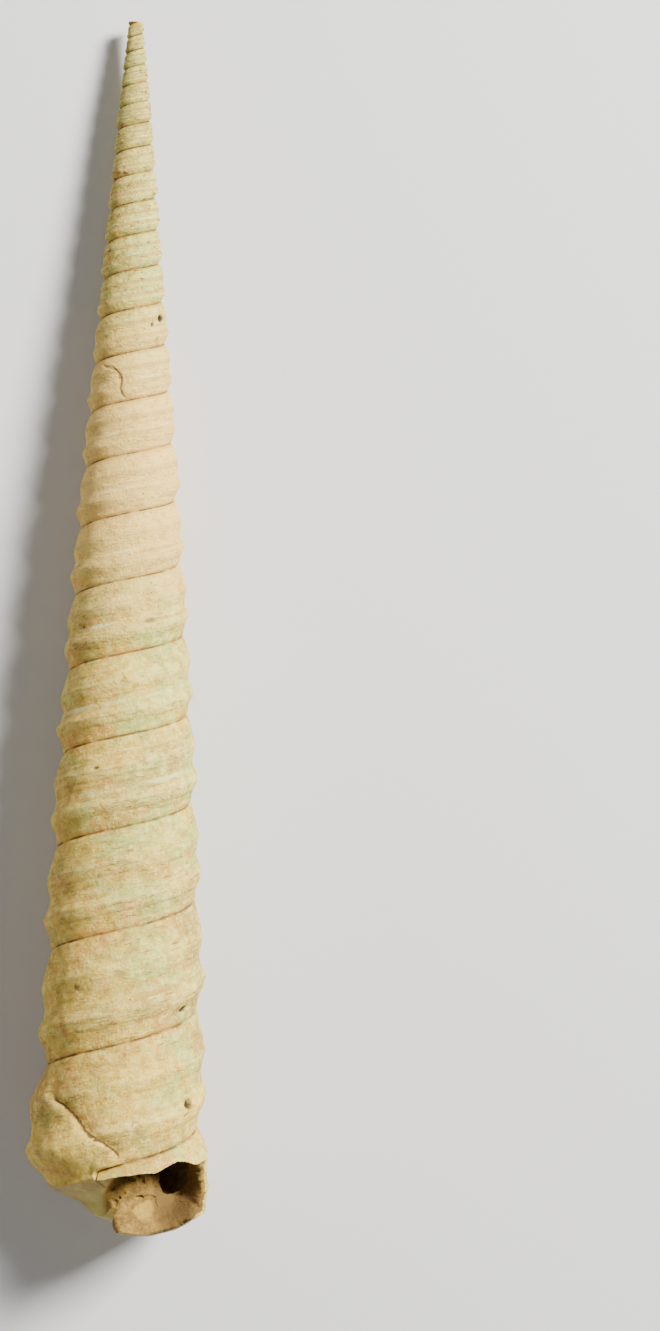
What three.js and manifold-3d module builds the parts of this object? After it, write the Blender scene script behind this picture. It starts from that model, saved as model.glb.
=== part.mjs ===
// A fossil turret shell: a tall right-handed spiral of about twenty-four whorls, broken at its point and lip.
// It lies on its back, with its mouth facing up and the point of its spire towards +Y.
// Millimetres, +Z up. The floor is z = 0, and the origin is under the middle of the shell.
import * as THREE from "three";
import { mergeVertices } from "three/addons/utils/BufferGeometryUtils.js";
import Module from "manifold-3d";

const wasm = await Module();
wasm.setup();
const { clamp, degToRad, lerp, smoothstep } = THREE.MathUtils;

// Length and coiling. Heights along the axis are measured up from the lowest point of the base.
const SHELL_LENGTH = 126.2;
const CLOSING_HEIGHT = 142.4; // where the spire would close to a point, had it not broken off
const LAST_SUTURE_DROP = 134.6; // from the closing point down to the last suture, at the front
const GROWTH_RATE = 0.1021; // natural logarithm of one turn's drop over that of the turn above
const GROWTH_EASE = 0.000443; // how much that falls off with each turn up the spire
const LAST_SUTURE_LIFT = 0.6; // the last suture ends a little higher than the spiral would
const LAST_SUTURE_LIFT_START = 0.6; // in turns up from the front of the last suture
const LIP_END_TURN = -0.05; // where the strip of wall over the mouth ends
const TOP_TURN = 24.2; // a turn above the broken point, which is cut off level

// Radius in the suture, by drop below the closing point
const SUTURE_DROPS = [8, 16, 24, 36, 60, 90, 116, 146];
const SUTURE_RADII = [0.2, 0.62, 1.42, 2.38, 4.34, 6.42, 7.6, 8.1];

// Relief across one whorl, from its upper suture (0) to its lower suture (1)
const PROFILE_PLACES = [0, 0.16, 0.33, 0.51, 0.71, 0.86];
const PROFILE_HEIGHTS = [0, 0.46, 0.8, 0.58, 1, 0.34];
const KEEL_SHARE = 0.0063; // keel height over the drop below the closing point
const WEAR = 0.09; // share of the radius relief that wear has made uneven

// The last turn flares after a healed break, and its base edge climbs towards the lip
const LAST_TURN_PLACES = [-0.05, 0.25, 0.38, 0.55, 0.75, 0.88, 0.95];
const FLARES = [0.2, 0.3, 0.6, 0.9, 0.92, 0.92, 0];
const BASE_EDGE_SHARES = [0.4, 0.6, 0.73, 0.81, 0.93, 1, 0.955];
const BASE_EDGE_SPREADS = [0.3, 0.5, 0.8, 0.2, -0.4, -0.5, 0]; // out from the radius in the suture
const FLARE_FULL_PLACE = 0.3; // place across the whorl where the flare is full
const FLARE_WANE_PLACE = 0.72; // place where it starts to draw in again
const FLARE_WANE_SHARE = 0.45; // share of it that is lost at the edge of the base
const BASE_POLE = new THREE.Vector3(3.7, 0.25, -2.2); // lowest point of the base
const BASE_BULGE = 0.115; // bulge of the base below the straight line, over that line's length
const BASE_RINGS = [0.12, 0.35, 0.65];

// The mouth, in degrees round the axis from the front (0) to the right (90) and the back (180)
const MOUTH_LEFT = -19;
const MOUTH_LIP = 84;
const OUTSIDE_RADIUS = 14; // well clear of the shell
const RIM_THICKNESS = 0.35; // strip of wall left under the last suture
const CEILING_DROP = 0.3; // the ceiling starts this far in and down from the suture
const RIM_ANGLES = [-19, 15, 36, 60, 75, 84];
const RIM_DROPS = [0.9, 1.25, 1.65, 2.5, 3.1, 3.6]; // broken rim below the suture
const COLUMELLA_RADIUS = 1.7;
const COLUMELLA_FOOT_RADIUS = 3.6; // the columella spreads towards its foot
const COLUMELLA_FOOT_TOP = 2.6; // height where it starts to
const BELOW_BASE = -4; // a height well below the base
const OPENING_STEPS = 8;
const CEILING_SLOPE = 0.6; // the underside of the turn above, sinking towards the axis
const HOLLOW_ANGLES = [60, 84, 100, 118, 138, 160, 184];
const HOLLOW_SCALES = [1, 1, 0.86, 0.66, 0.48, 0.32, 0.12];
const HOLLOW_CENTRE_RADIUS = 6.1; // the hollow narrows towards here as the sediment fills it
const HOLLOW_CENTRE_DROP = 2.6;
const FLOOR_THICKNESS = 0.1; // the base is thin where it has broken away

// Marks that show from a step away, placed by degrees round the axis and by place across the last whorl
const CRACK_MARKS = [
  [-55, 0.29],
  [-42, 0.39],
  [-30, 0.57],
  [-22, 0.69],
  [-10, 0.81],
  [-4, 0.9],
];
const CRACK_WIDTH = 0.7;
const FOLD_COUNT = 9;
const FOLD_FIRST_ANGLE = 160;
const FOLD_STEP = 10;
const FOLD_WIDTH = 1.1;
const FOLD_DEPTH = 0.22; // the middle of a fold lies this far under the surface

// Mesh density
const SEGMENTS = 24;
const MARK_SIDES = 6;

// How it lies
const REST_TILT = 3.4; // the point sinks by this many degrees, so that it rests along its keels
const REST_ROLL = 2.9; // the mouth leans to the right by this many degrees
const WORN_DEPTH = 0.22; // depth of the flats worn where it rests, on four keels and the last turn

// Colour
const SHELL_COLOUR = 0xcebf93;
const SHELL_ROUGHNESS = 0.86;

const PROFILE_ROWS = PROFILE_PLACES.length;

// A smooth curve through the given values
function curveThrough(places, values) {
  const curve = new THREE.CubicInterpolant(places, values, 1);
  return (place) => curve.evaluate(clamp(place, places[0], places.at(-1)))[0];
}

// Straight lines through the given values
function linesThrough(places, values) {
  const lines = new THREE.LinearInterpolant(places, values, 1);
  return (place) => lines.evaluate(clamp(place, places[0], places.at(-1)))[0];
}

const sutureRadius = curveThrough(SUTURE_DROPS, SUTURE_RADII);
const whorlRelief = linesThrough([...PROFILE_PLACES, 1], [...PROFILE_HEIGHTS, 0]);
const flare = linesThrough(LAST_TURN_PLACES, FLARES);
const baseEdgeSpread = linesThrough(LAST_TURN_PLACES, BASE_EDGE_SPREADS);
const baseEdgeShare = linesThrough(LAST_TURN_PLACES, BASE_EDGE_SHARES);
const rimDrop = linesThrough(RIM_ANGLES, RIM_DROPS);
const hollowScale = linesThrough(HOLLOW_ANGLES, HOLLOW_SCALES);

// Drop of the plain spiral below the closing point, in turns up from the front of the last suture
function spiralDrop(turn) {
  return LAST_SUTURE_DROP * Math.exp(-GROWTH_RATE * turn + GROWTH_EASE * turn * turn);
}

function sutureDrop(turn) {
  const lift = LAST_SUTURE_LIFT * smoothstep(-turn, -LAST_SUTURE_LIFT_START, 0);
  return spiralDrop(turn) - lift;
}

// Height of the whorl's side, from its upper suture to its lower one or to the edge of the base
function sideHeight(turn) {
  if (turn >= 1 + LIP_END_TURN) return sutureDrop(turn - 1) - sutureDrop(turn);
  return baseEdgeShare(turn) * (spiralDrop(turn - 1) - spiralDrop(turn));
}

// Low uneven lumps, as worn keels have
function lumps(angle, drop) {
  return Math.sin(3 * angle + 0.9 * drop) + Math.sin(5 * angle - 1.7 * drop) + Math.sin(2 * angle + 2.3 * drop);
}

// A point of the shell, at a radius and drop, turned round the axis from the front to the right
function around(angle, radius, height) {
  return new THREE.Vector3(radius * Math.sin(angle), height, radius * Math.cos(angle));
}

// A point on the side of a whorl: turn gives the section, and place runs between its sutures
function sidePoint(turn, place, sunk = 0) {
  const angle = turn * 2 * Math.PI;
  const drop = sutureDrop(turn) + place * sideHeight(turn);
  const keel = KEEL_SHARE * drop * whorlRelief(place) * (1 + WEAR * lumps(angle, drop));
  const wane = 1 - FLARE_WANE_SHARE * smoothstep(place, FLARE_WANE_PLACE, 1);
  const flared = flare(turn) * smoothstep(place, 0, FLARE_FULL_PLACE) * wane;
  const spread = place === 1 ? baseEdgeSpread(turn) : flared;
  const lastTurn = turn < 1 + LIP_END_TURN ? spread : 0;
  return around(angle, sutureRadius(drop) + keel + lastTurn - sunk, CLOSING_HEIGHT - drop);
}

// A point of the base, from its edge (0) to its lowest point (1)
function basePoint(edge, share) {
  const point = edge.clone().lerp(BASE_POLE, share);
  point.y -= BASE_BULGE * edge.distanceTo(BASE_POLE) * Math.sin(Math.PI * share ** 0.75);
  return point;
}

// A closed solid from the faces of a geometry, with all of them turned outwards
function solidOf(geometry) {
  geometry.deleteAttribute("normal");
  geometry.deleteAttribute("uv");
  const merged = mergeVertices(geometry, 1e-5);
  const vertProperties = merged.attributes.position.array;
  const triVerts = new Uint32Array(merged.index.array);
  const solid = new wasm.Manifold(new wasm.Mesh({ numProp: 3, vertProperties, triVerts }));
  if (solid.volume() > 0) return solid;
  return new wasm.Manifold(new wasm.Mesh({ numProp: 3, vertProperties, triVerts: triVerts.reverse() }));
}

function solidFromTriangles(corners) {
  return solidOf(new THREE.BufferGeometry().setFromPoints(corners));
}

// A closed solid through rings with equal numbers of points, with a flat or pointed end at each
function loft(rings) {
  const corners = [];
  for (let i = 0; i + 1 < rings.length; i++) {
    const [near, far] = [rings[i], rings[i + 1]];
    near.forEach((corner, j) => {
      const next = (j + 1) % near.length;
      corners.push(corner, near[next], far[next], corner, far[next], far[j]);
    });
  }
  for (const [ring, turned] of [[rings[0], true], [rings.at(-1), false]]) {
    const middle = new THREE.Vector3();
    ring.forEach((corner) => middle.addScaledVector(corner, 1 / ring.length));
    ring.forEach((corner, j) => {
      const next = ring[(j + 1) % ring.length];
      corners.push(middle, ...(turned ? [next, corner] : [corner, next]));
    });
  }
  return solidFromTriangles(corners);
}

// A round bar along a line of points, thinning to its ends
function bar(points, width) {
  const path = new THREE.CatmullRomCurve3(points);
  const steps = 3 * (points.length - 1);
  const frames = path.computeFrenetFrames(steps, false);
  const rings = [];
  for (let i = 0; i <= steps; i++) {
    const centre = path.getPointAt(i / steps);
    const radius = (width / 2) * (0.25 + 0.75 * Math.sin((Math.PI * i) / steps));
    rings.push(
      Array.from({ length: MARK_SIDES }, (_, side) => {
        const turn = (side / MARK_SIDES) * 2 * Math.PI;
        return centre
          .clone()
          .addScaledVector(frames.normals[i], radius * Math.cos(turn))
          .addScaledVector(frames.binormals[i], radius * Math.sin(turn));
      }),
    );
  }
  return loft(rings);
}

// The coiled outside: one section after another down the spire, each sewn to the section a turn above
function buildSpire() {
  const sections = Math.round((TOP_TURN - LIP_END_TURN) * SEGMENTS);
  const turnOf = (section) => LIP_END_TURN + (sections - section) / SEGMENTS;
  const places = [...PROFILE_PLACES, 1];
  const corner = (section, row) =>
    row === PROFILE_ROWS && section + SEGMENTS <= sections
      ? sidePoint(turnOf(section + SEGMENTS), 0)
      : sidePoint(turnOf(section), places[row]);
  const corners = [];
  const face = (a, b, c) => corners.push(a, b, c);
  const quad = (a, b, c, d) => corners.push(a, b, c, a, c, d);

  for (let section = 0; section < sections; section++)
    for (let row = 0; row < PROFILE_ROWS; row++)
      quad(
        corner(section, row),
        corner(section, row + 1),
        corner(section + 1, row + 1),
        corner(section + 1, row),
      );

  // Close the top with a fan, which the broken point later cuts away
  const topMiddle = new THREE.Vector3(0, corner(0, 0).y, 0);
  for (let section = 0; section < SEGMENTS; section++)
    face(topMiddle, corner(section, 0), corner(section + 1, 0));
  for (let row = 0; row < PROFILE_ROWS; row++)
    face(topMiddle, corner(0, row + 1), corner(0, row));

  // Close the base, from the lower edge of the last turn to its lowest point
  const shares = [0, ...BASE_RINGS, 1];
  const baseCorner = (section, ring) => {
    const edge = corner(section, PROFILE_ROWS);
    return shares[ring] === 1 ? BASE_POLE : basePoint(edge, shares[ring]);
  };
  const spokes = [sections - SEGMENTS, sections];
  for (let section = spokes[0]; section < spokes[1]; section++)
    for (let ring = 0; ring + 1 < shares.length; ring++) {
      const outer = [baseCorner(section, ring), baseCorner(section + 1, ring)];
      const inner = [baseCorner(section, ring + 1), baseCorner(section + 1, ring + 1)];
      face(outer[0], inner[0], outer[1]);
      if (ring + 2 < shares.length) face(outer[1], inner[0], inner[1]);
    }

  // Close the end of the last turn, between the first and last spokes of the base
  for (let ring = 0; ring + 1 < shares.length; ring++) {
    const [upper, lower] = spokes.map((section) => baseCorner(section, ring));
    const [upperIn, lowerIn] = spokes.map((section) => baseCorner(section, ring + 1));
    face(upper, lower, upperIn);
    if (ring + 2 < shares.length) face(lower, lowerIn, upperIn);
  }
  for (let row = 1; row < PROFILE_ROWS; row++)
    face(corner(sections, 0), corner(sections, row), corner(sections, row + 1));
  return solidFromTriangles(corners);
}

// Height of the last suture at an angle in degrees from the front to the right
function lastSutureHeight(degrees) {
  return CLOSING_HEIGHT - sutureDrop(degrees / 360);
}

// The open front of the mouth: everything under the broken rim, round the columella
function buildOpening() {
  const rings = [];
  for (let step = 0; step <= OPENING_STEPS; step++) {
    const degrees = lerp(MOUTH_LEFT, MOUTH_LIP, step / OPENING_STEPS);
    const suture = lastSutureHeight(degrees);
    const rim = suture - rimDrop(degrees);
    const wall = sutureRadius(LAST_SUTURE_DROP);
    const ceiling = suture - CEILING_DROP;
    const section = [
      [OUTSIDE_RADIUS, rim],
      [wall + RIM_THICKNESS, rim],
      [wall - CEILING_DROP, ceiling],
      [COLUMELLA_RADIUS, ceiling - CEILING_SLOPE * (wall - COLUMELLA_RADIUS)],
      [COLUMELLA_RADIUS, COLUMELLA_FOOT_TOP],
      [COLUMELLA_FOOT_RADIUS, BELOW_BASE],
      [OUTSIDE_RADIUS, BELOW_BASE],
    ];
    rings.push(section.map(([radius, height]) => around(degToRad(degrees), radius, height)));
  }
  return loft(rings);
}

// The hollow behind the lip, narrowing to the face of the sediment that fills the shell
function buildHollow() {
  const rings = HOLLOW_ANGLES.map((degrees) => {
    const turn = degrees / 360;
    const suture = lastSutureHeight(degrees);
    const edge = suture - sideHeight(turn);
    const wall = sutureRadius(LAST_SUTURE_DROP);
    const floorAt = (radius) => lerp(edge, BASE_POLE.y, (wall - radius) / (wall - BASE_POLE.x)) + FLOOR_THICKNESS;
    // Radius and height of each point, from the roof down the outer wall and back along the floor
    const section = [
      [wall - 0.7, suture - 0.8],
      [wall, suture - 2],
      [wall + 0.15, (suture + edge) / 2],
      [wall - 0.3, edge + 0.4],
      [wall - 1.8, floorAt(wall - 1.8)],
      [4, floorAt(4)],
      [2.2, 0.9],
      [COLUMELLA_RADIUS, 1.8],
      [COLUMELLA_RADIUS, suture - 4.4],
      [4.5, suture - 2.6],
    ];
    const scale = hollowScale(degrees);
    const centre = [HOLLOW_CENTRE_RADIUS, suture - HOLLOW_CENTRE_DROP];
    return section.map(([radius, height]) =>
      around(degToRad(degrees), lerp(centre[0], radius, scale), lerp(centre[1], height, scale)),
    );
  });
  return loft(rings);
}

// The groove of the healed break, slanting down the front of the last turn
function buildCrack() {
  return bar(CRACK_MARKS.map(([degrees, place]) => sidePoint(1 + degrees / 360, place)), CRACK_WIDTH);
}

// Coarse growth folds down the back of the last turn, near the lip
function buildFolds() {
  return Array.from({ length: FOLD_COUNT }, (_, i) => {
    const degrees = FOLD_FIRST_ANGLE + i * FOLD_STEP;
    const points = [0.36, 0.54, 0.72, 0.94].map((place) => {
      const sway = 2.5 * Math.sin(9 * place + i);
      return sidePoint((degrees + sway) / 360, place, FOLD_DEPTH);
    });
    return bar(points, FOLD_WIDTH);
  });
}

// A slab, to cut a level face
function slab(width, length, height, centre) {
  const geometry = new THREE.BoxGeometry(width, length, height);
  geometry.translate(...centre);
  return solidOf(geometry);
}

// The shell upright in its own axes: x to the right, y up the axis and z out of the front
function buildShell() {
  let shell = buildSpire();
  for (const fold of buildFolds()) shell = shell.add(fold);
  shell = shell.subtract(buildOpening());
  shell = shell.subtract(buildHollow());
  shell = shell.subtract(buildCrack());
  return shell.subtract(slab(20, 40, 20, [0, SHELL_LENGTH + 20, 0]));
}

// A geometry from a solid
function geometryOf(solid) {
  const { vertProperties, triVerts } = solid.getMesh();
  const geometry = new THREE.BufferGeometry();
  geometry.setAttribute("position", new THREE.BufferAttribute(vertProperties, 3));
  geometry.setIndex(new THREE.BufferAttribute(triVerts, 1));
  return geometry;
}

// Lay the shell down, wear it flat where it rests, and centre it over the origin
function layDown(shell) {
  const geometry = geometryOf(shell);
  geometry.rotateY(degToRad(REST_ROLL));
  geometry.rotateX(degToRad(-REST_TILT));
  geometry.computeBoundingBox();
  geometry.translate(0, 0, -geometry.boundingBox.min.z - WORN_DEPTH);
  const worn = geometryOf(solidOf(geometry).subtract(slab(60, 300, 10, [0, 60, -5])));
  worn.computeBoundingBox();
  const middle = worn.boundingBox.getCenter(new THREE.Vector3());
  return worn.translate(-middle.x, -middle.y, 0);
}

const shellGeometry = layDown(buildShell());
shellGeometry.computeVertexNormals();

const shellMaterial = new THREE.MeshStandardMaterial({
  color: SHELL_COLOUR,
  roughness: SHELL_ROUGHNESS,
  metalness: 0,
  flatShading: true,
});

const shell = new THREE.Mesh(shellGeometry, shellMaterial);
shell.name = "shell";

const fossil = new THREE.Group();
fossil.add(shell);

export default fossil;
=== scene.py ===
"""A fossil turret shell lying on a pale table, seen from above, built as a Blender add-on."""

import math

import bmesh
import bpy
import numpy as np
from bpy.props import FloatProperty, FloatVectorProperty, PointerProperty
from mathutils import Matrix, Vector
from mathutils.bvhtree import BVHTree


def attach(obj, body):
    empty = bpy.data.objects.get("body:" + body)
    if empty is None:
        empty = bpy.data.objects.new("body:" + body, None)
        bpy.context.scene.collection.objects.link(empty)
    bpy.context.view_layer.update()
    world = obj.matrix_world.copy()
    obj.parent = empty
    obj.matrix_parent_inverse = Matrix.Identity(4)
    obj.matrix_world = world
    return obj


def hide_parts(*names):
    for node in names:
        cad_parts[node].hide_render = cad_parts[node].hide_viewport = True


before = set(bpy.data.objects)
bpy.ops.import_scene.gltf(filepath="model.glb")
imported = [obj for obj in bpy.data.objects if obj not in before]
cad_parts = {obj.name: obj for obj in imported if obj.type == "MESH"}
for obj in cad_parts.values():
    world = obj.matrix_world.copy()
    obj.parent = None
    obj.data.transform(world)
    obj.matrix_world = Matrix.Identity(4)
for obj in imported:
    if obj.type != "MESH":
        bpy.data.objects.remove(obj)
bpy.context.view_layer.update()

bl_info = {
    "name": "Fossil turret shell",
    "version": (1, 0, 0),
    "blender": (4, 5, 0),
    "location": "3D View > Sidebar > Fossil",
    "description": "Builds a worn, right-handed fossil turret shell with its broken mouth",
    "category": "Add Mesh",
}

MM = 0.001

# Coiling, in millimetres. Drops are measured down the axis from the point where the spire would close,
# and a turn counts up the spire from the front of the last suture.
CLOSING_HEIGHT = 142.4
LAST_SUTURE_DROP = 134.6
GROWTH_RATE = 0.1021
GROWTH_EASE = 0.000443
LAST_SUTURE_LIFT = 0.6
LAST_SUTURE_LIFT_START = 0.6
LIP_END_TURN = -0.05
TOP_TURN = 24.0
SUTURE_RADII = ([8, 16, 24, 36, 60, 90, 116, 146], [0.2, 0.62, 1.42, 2.38, 4.34, 6.42, 7.6, 8.1])
WHORL_RELIEF = (
    [0, 0.03, 0.08, 0.16, 0.25, 0.33, 0.4, 0.48, 0.55, 0.63, 0.7, 0.76, 0.86, 0.94, 0.98, 1],
    [-0.2, 0.06, 0.22, 0.46, 0.7, 0.95, 0.78, 0.5, 0.46, 0.78, 1.16, 0.98, 0.3, 0.06, -0.04, -0.2],
)

# Relief of the whorls, in millimetres; the keels' height is a share of the drop. The threads have
# a count across the whorl, a sway, a start and a strength.
KEEL_SHARE = 0.0063
UPPER_KEEL = 1.45
KEEL_LOSS = 0.41
KEEL_BY_LIP = 0.85
RELIEF_END = 0.97
THREADS = [(13, 0.25, 0, 0.6), (21, 0, 0.4, 0.4)]
THREAD_HEIGHT = 0.05
RIBS = 3
RIB_HEIGHT = 0.075
GROWTH_LINES = 44
GROWTH_LINE_HEIGHT = 0.035
LUMP_HEIGHT = 0.075
GRAIN_HEIGHT = 0.03
SUTURE_DEPTH = 0.16

# The last turn flares after a healed break, and its base edge climbs towards the lip
LAST_TURN_PLACES = [-0.05, 0.25, 0.38, 0.55, 0.75, 0.88, 0.95]
FLARES = (LAST_TURN_PLACES, [0.2, 0.3, 0.6, 0.9, 0.92, 0.92, 0.92])
BASE_EDGE_SHARES = (LAST_TURN_PLACES, [0.4, 0.62, 0.73, 0.81, 0.93, 1, 0.985])
BASE_EDGE_SPREADS = (LAST_TURN_PLACES, [0.3, 0.25, 0.8, 0.2, -0.4, -0.5, 0])
BASE_POLE = np.array([3.7, 0.6, -2.2])
BASE_BULGE = 0.115
BASE_FOOT = (
    [-9, -7, -4.4, -2.1, -0.6, 1.3, 3.4, 5.2, 6.9, 8.4, 9.4],
    [5.4, 4.6, 3.4, 1.95, 1.45, 0.9, 0.6, 0.8, 1.7, 3.0, 4.4],
)
BASE_RINGS = 36
BASE_LUMPS = 0.16
BASE_RIDGES = 5
BASE_RIDGE_HEIGHT = 0.04
LIP_THINNING = 0.75
LIP_THINNING_END = 0.04
CRACK_LINE = ([0.27, 0.33, 0.4, 0.57, 0.71, 0.81, 0.9], [-57, -50, -41, -29, -18, -9, -2])
CRACK_HALF_WIDTH = 0.42
CRACK_DEPTH = 0.2
LAST_RADIUS = 8.0
LAST_HEIGHT = 13.0

# The mouth, seen from the front: across and up, in millimetres. The hole and the lump are each given
# by their middle across and up, then by their reach, and last by their depth or height.
RIM = (
    [-9, -6.6, -3.4, 0.4, 2.4, 3.6, 4.95, 6.2, 7.0, 7.66, 8.4, 10],
    [5.6, 5.9, 6.6, 7.35, 7.6, 7.7, 8.3, 8.65, 8.4, 8.1, 8.3, 8.6],
)
MOUTH_LEFT_EDGE = ([-3, 0.6, 2.1, 3.6, 5, 6, 7.4], [-0.2, -1.1, -1.7, -2.0, -2.0, -1.6, -0.8])
MOUTH_EDGE_WIDTH = 1.3
OPENING_SIDES = (-9.4, 10.4)
OPENING_FOOT = -3.2
OPENING_FRONT = 14.0
SIGHT_START = 30
OPENING_COLUMNS = 150
OPENING_ROWS = 78
OPENING_RIM_ROWS = 5
OPENING_RIM_SHARE = 0.06
LIP_WIDTH = 0.42
LIP_CLEARANCE = 0.8
BOWL_REACH = 2.8
SEDIMENT_LEVEL = 2.6
SEDIMENT_SLOPE = 0.2
LEAST_SINK = 0.9
HOLE = (5.8, 6.3, 2.0, 2.5, 3.3)
LUMP = (2.4, 3.2, 1.05, 0.34)
LUMP_CRACK_DEPTH = 0.3
SEDIMENT_PIT_DEPTH = 0.4
COLUMELLA_FOOT = 2.4
BASE_RIM_RADIUS = 7.65
BASE_SLOPE = 0.62
BASE_FALL = 1.6
HOLLOW_SCALES = ([80, 92, 104, 118, 138, 160, 184], [0.5, 0.58, 0.64, 0.62, 0.48, 0.32, 0.12])
HOLLOW_CENTRE = (6.1, 2.6)
HOLLOW_RINGS = 50
HOLLOW_ROUGHNESS = 0.26
COLUMELLA_RADIUS = 1.7

# How it lies: the turn round its own axis, the dip of the point and the shift onto the floor
REST_ROLL = 2.9
REST_TILT = 3.4
REST_SHIFT = (0.276, -62.927, 9.933)

# The camera, in millimetres of the upright shell and pixels of the photograph
FRAME_PIXELS = (660, 1331)
PIXELS_PER_MM = 9.625
SHELL_FOOT_PIXEL = (119.6, 1237)
CAMERA_DISTANCE = 420
AXIS_LEAN = 0.773
SENSOR = 36

# Lights: name, place in metres, size and the setting that holds the power
LIGHTS = [("key", (0.46, 0.32, 0.44), 0.2, "key_power"), ("fill", (-0.4, -0.1, 0.8), 0.6, "fill_power")]
TABLE_WIDTH = 4

# Pits: turn, place across the whorl, half width round the shell, half height along it, depth
PITS = [
    (1.149, 0.67, 0.55, 0.42, 0.6),
    (1.136, 0.74, 0.22, 0.2, 0.3),
    (2.143, 0.86, 0.6, 0.26, 0.45),
    (11.157, 0.35, 0.4, 0.38, 0.5),
    (11.1, 0.45, 0.2, 0.25, 0.25),
    (4.487, 0.3, 0.36, 0.85, 0.55),
    (4.647, 0.67, 0.3, 0.3, 0.35),
    (7.441, 0.4, 0.22, 0.5, 0.35),
    (0.668, 0.68, 0.34, 1.6, 0.45),
    (3.93, 0.3, 0.3, 0.2, 0.2),
    (6.06, 0.62, 0.8, 0.3, 0.16),
    (1.9, 0.42, 0.4, 0.3, 0.16),
    (5.86, 0.52, 0.25, 0.2, 0.2),
]
# Cracks: turn and place of each point, and then width and depth
CRACKS = [
    ([(4.541, 0.43), (4.589, 0.54), (4.614, 0.72), (4.643, 0.81), (4.664, 0.92)], 0.11, 0.2),
    ([(4.538, 0.6), (4.578, 0.65), (4.614, 0.72), (4.625, 0.97)], 0.1, 0.18),
    ([(9.871, 0.16), (9.944, 0.35), (9.973, 0.9)], 0.1, 0.12),
]
# Where the suture gapes: first and last turn, half width and depth
SUTURE_SLOT = (0.484, 0.59, 0.34, 0.7)
FOLD_FIRST_ANGLE = 160
FOLD_STEP = 10
FOLD_COUNT = 9
FOLD_HEIGHT = 0.27

# The block that breaks off the point: width, height and cells along each side
POINT_WIDTH = 6
POINT_HEIGHT = 22
POINT_CELLS = 40

# Mesh density: segments round each turn, and rows across a whorl from each turn upwards
SEGMENTS = 116
ROWS_FROM_TURN = [(-1, 64), (5, 32), (13, 16)]

# Limits, in turns and millimetres: the last turn tried, the least side of a whorl, the depth that
# stands for no surface, how near counts as touching, and how near two points are made one
HIGHEST_TURN = 26
LEAST_SIDE = 0.05
BESIDE = -20
TOUCHING = 0.02
MERGED = 0.002
SHELL_HEIGHT = 126

# Noise patterns of the finish: what they follow, stretch, scale, detail and roughness
PATTERNS = {
    "broad": ("place", None, 0.09, 3, 0.55),
    "fine": ("place", None, 0.55, 6, 0.65),
    "green": ("place", (1, 1.6, 1), 0.22, 5, 0.62),
    "pink": ("place", (1, 1.4, 1), 0.3, 5, 0.55),
    "streak": ("coil", (26, 22, 1), 1, 5, 0.6),
    "stain": ("coil", (9, 34, 1), 1, 5, 0.7),
    "blotch": ("place", None, 0.9, 8, 0.72),
    "dash": ("coil", (28, 40, 1), 1, 3, 0.6),
    "scratch": ("coil", (170, 16, 1), 1, 4, 0.6),
    "grit": ("place", None, 2.6, 6, 0.75),
    "marks": ("place", (1, 1.8, 1), 1.1, 8, 0.8),
    "chalky": ("coil", (6, 2, 1), 1, 5, 0.6),
    "soil": ("place", None, 1.5, 6, 0.7),
    "crust": ("place", None, 0.5, 4, 0.6),
    "gaps": ("place", None, 0.5, 4, 0.55),
    "wobble": ("place", None, 1.0, 4, 0.55),
    "ragged": ("place", None, 1.6, 3, 0.55),
    "groove_line_shade": ("coil", (5, 3, 1), 1, 4, 0.55),
    "speckled": ("place", None, 0.35, 2, 0.55),
    "grain": ("place", None, 3.2, 8, 0.7),
}
TINTS = ("cream", "tan", "green", "pink", "peach", "white", "chalk", "brown", "soot_and_shade", "pit", "grey")


def smoothstep(value, low, high):
    """0 below low, 1 above high and a smooth climb between."""
    t = np.clip((np.asarray(value, float) - low) / (high - low), 0, 1)
    return t * t * (3 - 2 * t)


def curve(table, value):
    """A smooth curve through a table of places and values."""
    xs, ys = (np.asarray(part, float) for part in table)
    slopes = np.gradient(ys, xs)
    value = np.clip(value, xs[0], xs[-1])
    i = np.clip(np.searchsorted(xs, value, side="right") - 1, 0, len(xs) - 2)
    width = xs[i + 1] - xs[i]
    t = (value - xs[i]) / width
    rise = (1 + 2 * t) * (1 - t) ** 2 * ys[i] + t * t * (3 - 2 * t) * ys[i + 1]
    return rise + width * t * (1 - t) * ((1 - t) * slopes[i] - t * slopes[i + 1])


def hashed(cell, seed):
    """A repeatable number from 0 to 1 for each whole-number cell."""
    cell = cell.astype(np.int64)
    mixed = cell[..., 0] * 73856093 ^ cell[..., 1] * 19349663 ^ cell[..., 2] * 83492791 ^ seed * 2654435
    mixed = (mixed ^ (mixed >> 13)) * 1274126177 & 0x7FFFFFFF
    return ((mixed ^ (mixed >> 16)) & 0xFFFF) / 65535


def noise(points, size, seed=0, octaves=3):
    """Smooth noise from -1 to 1 over points, with lumps of the given size."""
    total, share = 0, 0
    for octave in range(octaves):
        scaled = np.asarray(points) / size * 2**octave
        cell = np.floor(scaled)
        part = scaled - cell
        part = part * part * (3 - 2 * part)
        value = 0
        for corner in np.ndindex(2, 2, 2):
            weight = np.prod(np.where(corner, part, 1 - part), axis=-1)
            value = value + weight * hashed(cell + corner, seed + octave * 17)
        total = total + (2 * value - 1) * 0.5**octave
        share += 0.5**octave
    return total / share


def spiral_drop(turn):
    """Drop of the plain spiral below the closing point."""
    return LAST_SUTURE_DROP * np.exp(-GROWTH_RATE * turn + GROWTH_EASE * turn * turn)


def suture_drop(turn):
    """Drop of the suture, which lifts a little at the end of the last turn."""
    return spiral_drop(turn) - LAST_SUTURE_LIFT * smoothstep(-turn, -LAST_SUTURE_LIFT_START, 0)


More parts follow.
